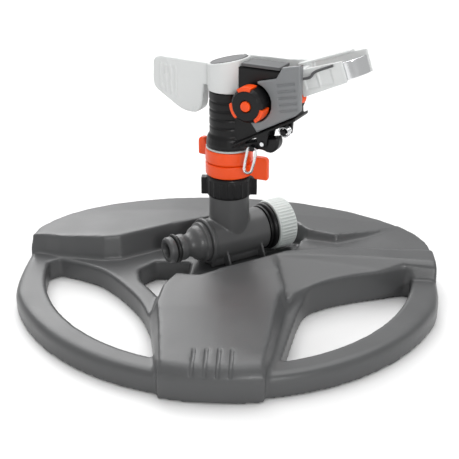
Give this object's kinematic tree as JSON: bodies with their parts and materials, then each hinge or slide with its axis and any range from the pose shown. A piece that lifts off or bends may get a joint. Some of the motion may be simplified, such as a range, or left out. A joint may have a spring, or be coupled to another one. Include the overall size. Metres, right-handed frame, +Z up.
{
  "type": "impact sprinkler",
  "caption": "Low ring-shaped sled base carrying a tee with hose nipple and an adjustable impact sprinkler head that turns between two stop rings.",
  "frame": {"origin": "on the ground under the riser's axis, at the underside of the base's central foot", "axes": "+Z up along the riser; -Y to the front of the ring; the pipe's cap end lies 34 degrees from +X"},
  "size_m": [0.248, 0.205, 0.1485],
  "materials": {
    "base_plastic": "satin moulded",
    "tee_plastic": "satin moulded",
    "black_plastic": "satin moulded",
    "orange_plastic": "gloss moulded",
    "light_plastic": "gloss moulded",
    "cover_plastic": "satin moulded",
    "cap_plastic": "satin moulded",
    "dark_plastic": "satin moulded",
    "rubber": "matt",
    "steel": "bright drawn",
    "bright_metal": "polished",
    "brass": "turned"
  },
  "bodies": {
    "base": {"base_shell": "base_plastic", "tee_body": "tee_plastic", "saddle_screw_1": "steel", "saddle_screw_2": "steel", "bearing_sleeve": "dark_plastic", "spindle_seal": "rubber", "thrust_washer": "brass", "glide_ring": "cap_plastic"},
    "nipple": {"hose_nipple": "tee_plastic", "nipple_o_ring": "rubber", "inlet_strainer": "steel"},
    "lock": {"lock_ring": "black_plastic"},
    "cap": {"end_cap": "cap_plastic", "end_cap_washer": "rubber"},
    "nut": {"wing_nut": "black_plastic"},
    "lower_stop": {"lower_stop_ring": "orange_plastic"},
    "upper_stop": {"upper_stop_ring": "orange_plastic"},
    "head": {"spindle": "dark_plastic", "head_body": "black_plastic", "jet_nozzle": "orange_plastic", "frame_cap": "dark_plastic", "side_cover": "cover_plastic", "arm_pivot_pin": "steel", "arm_return_spring": "steel", "trip_pin": "steel", "trip_spring": "steel"},
    "knob": {"adjust_knob": "black_plastic", "knob_grip_1": "orange_plastic", "knob_grip_2": "orange_plastic", "knob_grip_3": "orange_plastic", "knob_button": "orange_plastic"},
    "breaker": {"jet_breaker": "steel"},
    "arm": {"impact_arm": "light_plastic", "hub_cap": "dark_plastic", "deflector": "bright_metal", "deflector_stay": "dark_plastic"},
    "trip": {"trip_lever": "black_plastic"},
    "wire": {"trip_wire": "steel"}
  },
  "joints": [
    {"name": "head_turn", "type": "hinge", "parent": "base", "child": "head", "pos_m": [0, 0, 0.086], "axis": [0, 0, 1], "range_deg": [-134, 22]},
    {"name": "arm_swing", "type": "hinge", "parent": "head", "child": "arm", "pos_m": [0, 0, 0.1189], "axis": [0, 0, 1], "range_deg": [0, 70], "stiffness_Nm_per_rad": 0.02, "springref_deg": -8.59},
    {"name": "lower_stop_turn", "type": "hinge", "parent": "base", "child": "lower_stop", "pos_m": [0, 0, 0.0725], "axis": [0, 0, 1], "range_deg": [-20, 145]},
    {"name": "upper_stop_turn", "type": "hinge", "parent": "base", "child": "upper_stop", "pos_m": [0, 0, 0.0805], "axis": [0, 0, 1], "range_deg": [-145, 134]},
    {"name": "nut_turn", "type": "hinge", "parent": "base", "child": "nut", "pos_m": [0, 0, 0.0618], "axis": [0, 0, 1], "continuous": true},
    {"name": "cap_turn", "type": "hinge", "parent": "base", "child": "cap", "pos_m": [0.02819, 0.01901, 0.0275], "axis": [0.829, 0.5592, 0], "continuous": true},
    {"name": "lock_turn", "type": "hinge", "parent": "base", "child": "lock", "pos_m": [0.02073, 0.01398, 0.0275], "axis": [0.829, 0.5592, 0], "continuous": true},
    {"name": "nipple_turn", "type": "hinge", "parent": "base", "child": "nipple", "pos_m": [-0.02156, -0.01454, 0.0275], "axis": [0.829, 0.5592, 0], "continuous": true},
    {"name": "knob_turn", "type": "hinge", "parent": "head", "child": "knob", "pos_m": [0.01435, -0.01773, 0.11664], "axis": [-0.4226, -0.9063, 0], "range_deg": [-90, 90]},
    {"name": "breaker_slide", "type": "slide", "parent": "head", "child": "breaker", "axis": [0.4115, -0.1919, -0.891], "range_m": [-0.0017, 0.0017]},
    {"name": "trip_flip", "type": "hinge", "parent": "head", "child": "trip", "pos_m": [0.02148, -0.01664, 0.0936], "axis": [-0.4226, -0.9063, 0], "range_deg": [0, 14]},
    {"name": "wire_lift", "type": "hinge", "parent": "trip", "child": "wire", "pos_m": [0.01406, -0.01859, 0.0904], "axis": [-0.9063, 0.4226, 0], "range_deg": [0, 95]}
  ],
  "couplings": [
    {"joint": "breaker_slide", "follows": "knob_turn", "m_per_rad": 0.001}
  ]
}
